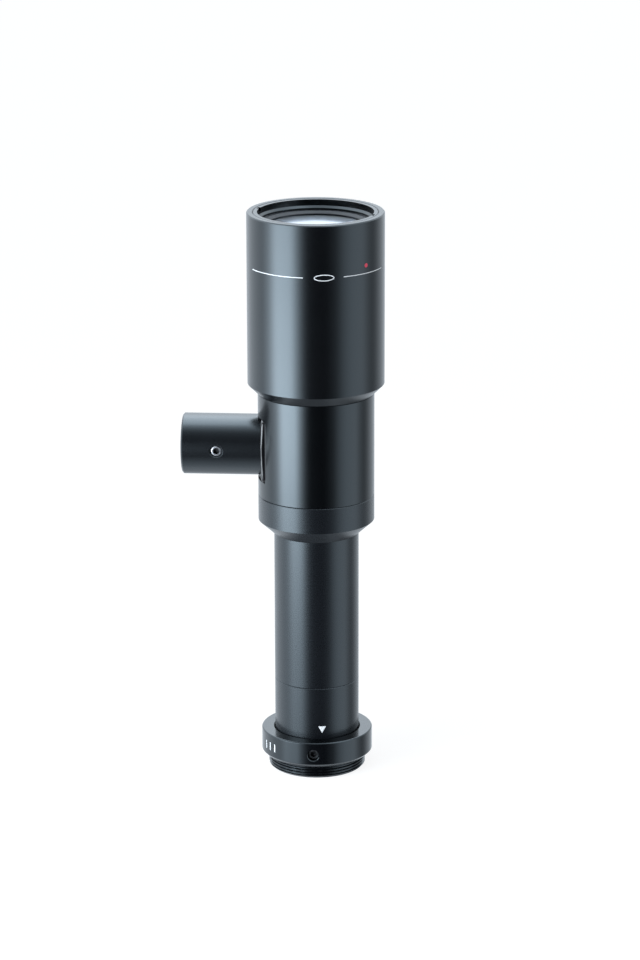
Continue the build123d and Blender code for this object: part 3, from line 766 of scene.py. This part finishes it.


# %% [markdown]
# ### Set screws
# The four set screws are small M3 grub screws of blackened steel. Their hexagon sockets are
# what shows in the holes: a bright rim round a black hole. The rim's brightness is painted into
# the colour, partly as worn steel and partly as a painted highlight. The socket is the same grid
# as the shank, with the circle swapped for a hexagon once the rows turn inwards.

# %% Shape of a set screw
screw_columns, shoulder_rows, rows_per_mm = 96, 7, 32
shank_reach, shoulder_reach, shoulder_wide, shoulder_high = 1.47, 1.07, 0.40, 0.30
screw_pitch, screw_depth, thread_end, thread_fade = 0.5, 0.22, 0.32, 0.15
socket_reach, socket_bevel, socket_deep = 0.75, 0.05, 1.20
highlight_and_wear_inner, highlight_and_wear_outer, highlight_and_wear_deep = 0.84, 1.32, 0.2


def set_screw_points(length, point):
    """Rows from the tip up the threaded shank, over a rounded shoulder, and down a hexagon socket.
    A hexagon's reach is its inner radius / cos(angle from the middle of its side)."""
    turn = full_turn(screw_columns)[None, :]
    hexagon = socket_reach / np.cos((turn + math.pi / 6) % (math.pi / 3) - math.pi / 6)
    last = length - thread_end
    shank = np.linspace(point, last, int((length - point) * rows_per_mm))[:, None]
    fade = np.clip(np.minimum(shank - point, last - shank) / thread_fade, 0, 1)
    thread = shank_reach - screw_depth * fade * thread_share(shank, turn, screw_pitch)
    arc = np.linspace(0, math.pi / 2, shoulder_rows)[:, None]
    shoulder = shoulder_reach + shoulder_wide * np.cos(arc)
    rows = [
        (shank_reach - point, 0),
        (thread, shank),
        (shoulder, length - shoulder_high + shoulder_high * np.sin(arc)),
        (hexagon + socket_bevel, length),
        (hexagon, length - socket_bevel),
        (hexagon, length - socket_deep + socket_bevel),
        (hexagon - socket_bevel, length - socket_deep),
    ]
    along = np.vstack([np.reshape(level, (-1, 1)) for _, level in rows])
    spread = [np.broadcast_to(reach, (np.size(level), screw_columns)) for reach, level in rows]
    reach = np.vstack(spread)
    # The socket's rim gets a lighter colour: partly worn steel, partly a painted highlight.
    on_rim = (reach > highlight_and_wear_inner) & (reach < highlight_and_wear_outer) & (along > length - highlight_and_wear_deep)
    return reach, along[:, 0], on_rim * 1.0


def set_screw(name, start, way, length, point, rim_highlight_and_wear):
    """One screw with its tip at the start and its head facing along the way. Its tip's cone is as
    long as the point, and its socket's rim is brightened by that share, partly as wear and partly
    as a painted highlight."""
    reach, along, rim = set_screw_points(length, point)
    mesh = grid_mesh(name, spun(reach, along, start, way, screw_columns), wear_and_highlight=rim * rim_highlight_and_wear)
    add_piece(f"{name}_threaded", mesh, screw_black, name, name)


# %% Four set screws
ring_tip_reach, port_tip = 10.65, (-25.349, -4.5, port_height)
# The last value is how strongly the socket rim is lightened: partly wear, partly a painted highlight.
ring_screw = {"length": 2.85, "point": 1.27, "rim_highlight_and_wear": 0.25}
port_screw = {"length": 3.0, "point": 0.15, "rim_highlight_and_wear": 1.0}

for number, turn in enumerate(screw_turns, start=1):
    way = np.array([math.cos(turn), math.sin(turn), 0])
    start = way * ring_tip_reach + upwards * screw_height
    set_screw(f"mount_screw_{number}", start, way, **ring_screw)
set_screw("port_screw", port_tip, (0, -1, 0), **port_screw)


# %% [markdown]
# ### Adhesive
# The side tube is glued into a flat milled on the barrel. The glue has filled the flat up to
# its edges, where it stands as a little wall with a rounded lip, and it has run thicker in the
# corners. It is black and wet looking, so it shows as a dark strip with one bright line.

# %% Adhesive round the side tube
bead_columns, bead_rows = 360, 26
flat_distance, flat_half_width, flat_half_height = 12.69886, 8.15, 8.31
bead_inner, bead_circle, circle_swing, circle_blend = 7.94, 11.2, 0.15, 40
corner_start, corner_length = 8.3, 2.8
bead_height, height_swing, corner_height = 1.10, 0.06, 0.12
edge_power, corner_power = 5.0, 3.5
bead_waves = [(0.5, 5, 1.1), (0.3, 11, 0.4), (0.2, 23, 2.0)]


def adhesive_points():
    """Rows run outwards from the tube's wall and columns round it. The outer reach is the nearer
    of the flat's edge and a soft circle. The height over the flat is a superellipse,
    high x (1 - share^n)^(1/n), whose n is larger where the bead is thin against the edge and
    smaller in the corners."""
    turn = full_turn(bead_columns)
    across, up = (np.maximum(np.abs(f(turn)), 1e-6) for f in (np.cos, np.sin))
    edge = np.minimum(flat_half_width / across, flat_half_height / up)
    waves = sum(size * np.sin(count * turn + shift) for size, count, shift in bead_waves)
    circle = bead_circle + circle_swing * waves
    outer = (edge**-circle_blend + circle**-circle_blend) ** (-1 / circle_blend)
    corner = np.clip((outer - corner_start) / corner_length, 0, 1)
    power = edge_power - (edge_power - corner_power) * corner
    high = bead_height + height_swing * waves + corner_height * corner
    share = np.sin(np.linspace(0, math.pi / 2, bead_rows))[:, None]
    reach = bead_inner + (outer - bead_inner) * share
    level = high * np.maximum(1 - share**power, 0) ** (1 / power)
    reach = np.vstack([reach, np.full((1, bead_columns), bead_inner)])
    level = np.vstack([level, np.zeros((1, bead_columns))])
    back, height = -flat_distance - level, port_height + reach * np.sin(turn)
    return np.stack([back, reach * np.cos(turn), height], -1)


bead_mesh = grid_mesh("port_adhesive", adhesive_points(), wrap_rows=True)
add_piece("port_adhesive_bead", bead_mesh, adhesive, "lens_body", "port_adhesive")


# %% [markdown]
# ### Objective
# The camera looks across the front glass at a low angle, where a ball made of triangles shows
# each of its facets. So the three elements of the objective are made again as fine surfaces
# on the same curves as the solids: at a distance from its axis, a ball's surface has fallen by
# its radius less the square root of (radius squared - distance squared).

# %% Glass of the objective
glass_rim, glass_bevel, glass_middle = 13.85, 0.25, 0.2
glass_rows, glass_columns = 40, 144


def ball(apex, curve, reach):
    """Height of a polished surface: apex - (radius - square root of (radius^2 - reach^2)). A
    negative curve turns the sign, so that the surface is hollow from above."""
    return apex - math.copysign(1, curve) * (abs(curve) - np.sqrt(curve**2 - reach**2))


def lens_element(name, top, top_curve, foot, foot_curve, material):
    """The top and the foot are where the two faces cross the axis. Rows run from the middle of the
    upper face to its edge, over the bevelled rim, and back under."""
    out = np.linspace(glass_middle, glass_rim - glass_bevel, glass_rows)
    upper, lower = ball(top, top_curve, out), ball(foot, foot_curve, out)
    edge = [upper[-1] - glass_bevel, lower[-1] + glass_bevel]
    reach = np.concatenate([out, [glass_rim, glass_rim], out[::-1]])
    level = np.concatenate([upper, edge, lower[::-1]])
    mesh = grid_mesh(name, spun(reach, level, (0, 0, 0), upwards, glass_columns))
    add_piece(f"{name}_polished", mesh, material, "lens_body", name)


lens_element("objective_crown_lens", 143.2785, 80, 137.2785, -62, front_glass)
lens_element("objective_flint_lens", 137.2585, -62, 134.2585, -260, inner_glass)
lens_element("objective_single_lens", 131.968, 90, 128.168, 130, inner_glass)


# %% [markdown]
# ### Marks
# A few plain marks are printed in white ink on the black, and one index dot in red. Printed
# ink has a thickness of its own, about a hundredth of a millimetre. A stroke is a flat
# ribbon that follows a path unrolled from the barrel, and a spot is a filled outline. Both are
# closed solids whose lower face is sunk just under the barrel's surface.

# %% Ink strokes and spots
ink_height, ink_sink = 0.012, 0.02


def on_barrel(radius, path, lift):
    """Wraps an unrolled path round a barrel, lifted off it. The angle is the distance across /
    radius, from the camera's side."""
    turn = camera_turn - math.pi / 2 + path[:, 0] / radius
    return np.stack([(radius + lift) * np.cos(turn), (radius + lift) * np.sin(turn), path[:, 1]], -1)


def stroke(name, path, width, radius, ink, body, closed=False):
    """A ribbon of ink: the path plus and minus half the width, square to the path's way."""
    way = (np.roll(path, -1, 0) - np.roll(path, 1, 0)) if closed else np.gradient(path, axis=0)
    way /= np.linalg.norm(way, axis=1, keepdims=True)
    side = np.stack([-way[:, 1], way[:, 0]], -1) * width / 2
    left, right = path + side, path - side
    edges = [(left, ink_height), (right, ink_height), (right, -ink_sink), (left, -ink_sink)]
    points = np.stack([on_barrel(radius, edge, lift) for edge, lift in edges], 1)
    add_piece(name, grid_mesh(name, points, wrap_rows=closed), ink, body)


def spot(name, path, radius, ink, body):
    """A filled outline: rows shrink it towards its middle on the top face and on the sunk face."""
    middle = path.mean(0)
    rows = [(0.3, ink_height), (0.7, ink_height), (1.0, ink_height), (1.0, -ink_sink), (0.3, -ink_sink)]
    shrunk = [(middle + (path - middle) * share, lift) for share, lift in rows]
    points = np.stack([on_barrel(radius, row, lift) for row, lift in shrunk], 0)
    add_piece(name, grid_mesh(name, points), ink, body)


def level_path(radius, first, last, height):
    """Places at one height between two angles in degrees, about one every half degree."""
    turn = np.radians(np.linspace(first, last, int(abs(last - first) * 2) + 2))
    return np.stack([turn * radius, np.full(len(turn), height)], -1)


def round_path(radius, turn, height, wide, high, count):
    """An ellipse round a place on the barrel: wide x cos across and high x sin upwards."""
    angle = full_turn(count)
    across = math.radians(turn) * radius + wide * np.cos(angle)
    return np.stack([across, height + high * np.sin(angle)], -1)


# %% Marks on the front barrel
front_reach, line_height, line_width = 17.70, 132.55, 0.20
symbol_turn, symbol_wide, symbol_high = 6.9, 2.5, 0.75
dot_turn, dot_height, dot_reach = 46, 134.6, 0.55

for name, first, last in (("line_left", -64.4, -10.5), ("line_right", 23.5, 69.8)):
    line = level_path(front_reach, first, last, line_height)
    stroke(name, line, line_width, front_reach, white_ink, "lens_body")
outline = round_path(front_reach, symbol_turn, line_height, symbol_wide, symbol_high, 96)
stroke("lens_symbol", outline, line_width, front_reach, white_ink, "lens_body", closed=True)
outline = round_path(front_reach, dot_turn, dot_height, dot_reach, dot_reach, 48)
spot("index_dot", outline, front_reach, red_ink, "lens_body")

# %% Marks on the mount tube and the mount ring
tube_reach, arrow_turn, side_steps = 11.03, 7, 8
tick_turns, tick_foot, tick_top, tick_width = (-66, -58, -50), 2.6, 4.8, 0.35

tips = [(-1.0, 10.4), (1.0, 10.4), (0.0, 8.6)]
sides = zip(tips, tips[1:] + tips[:1])
arrow = np.concatenate([np.linspace(tip, end, side_steps + 1)[:-1] for tip, end in sides])
arrow[:, 0] += math.radians(arrow_turn) * tube_reach
spot("index_arrow", arrow, tube_reach, white_ink, "lens_body")
for number, turn in enumerate(tick_turns, start=1):
    heights = np.linspace(tick_foot, tick_top, 6)
    tick = np.stack([np.full(len(heights), math.radians(turn) * ring_reach), heights], -1)
    stroke(f"ring_tick_{number}", tick, tick_width, ring_reach, white_ink, "mount_ring")
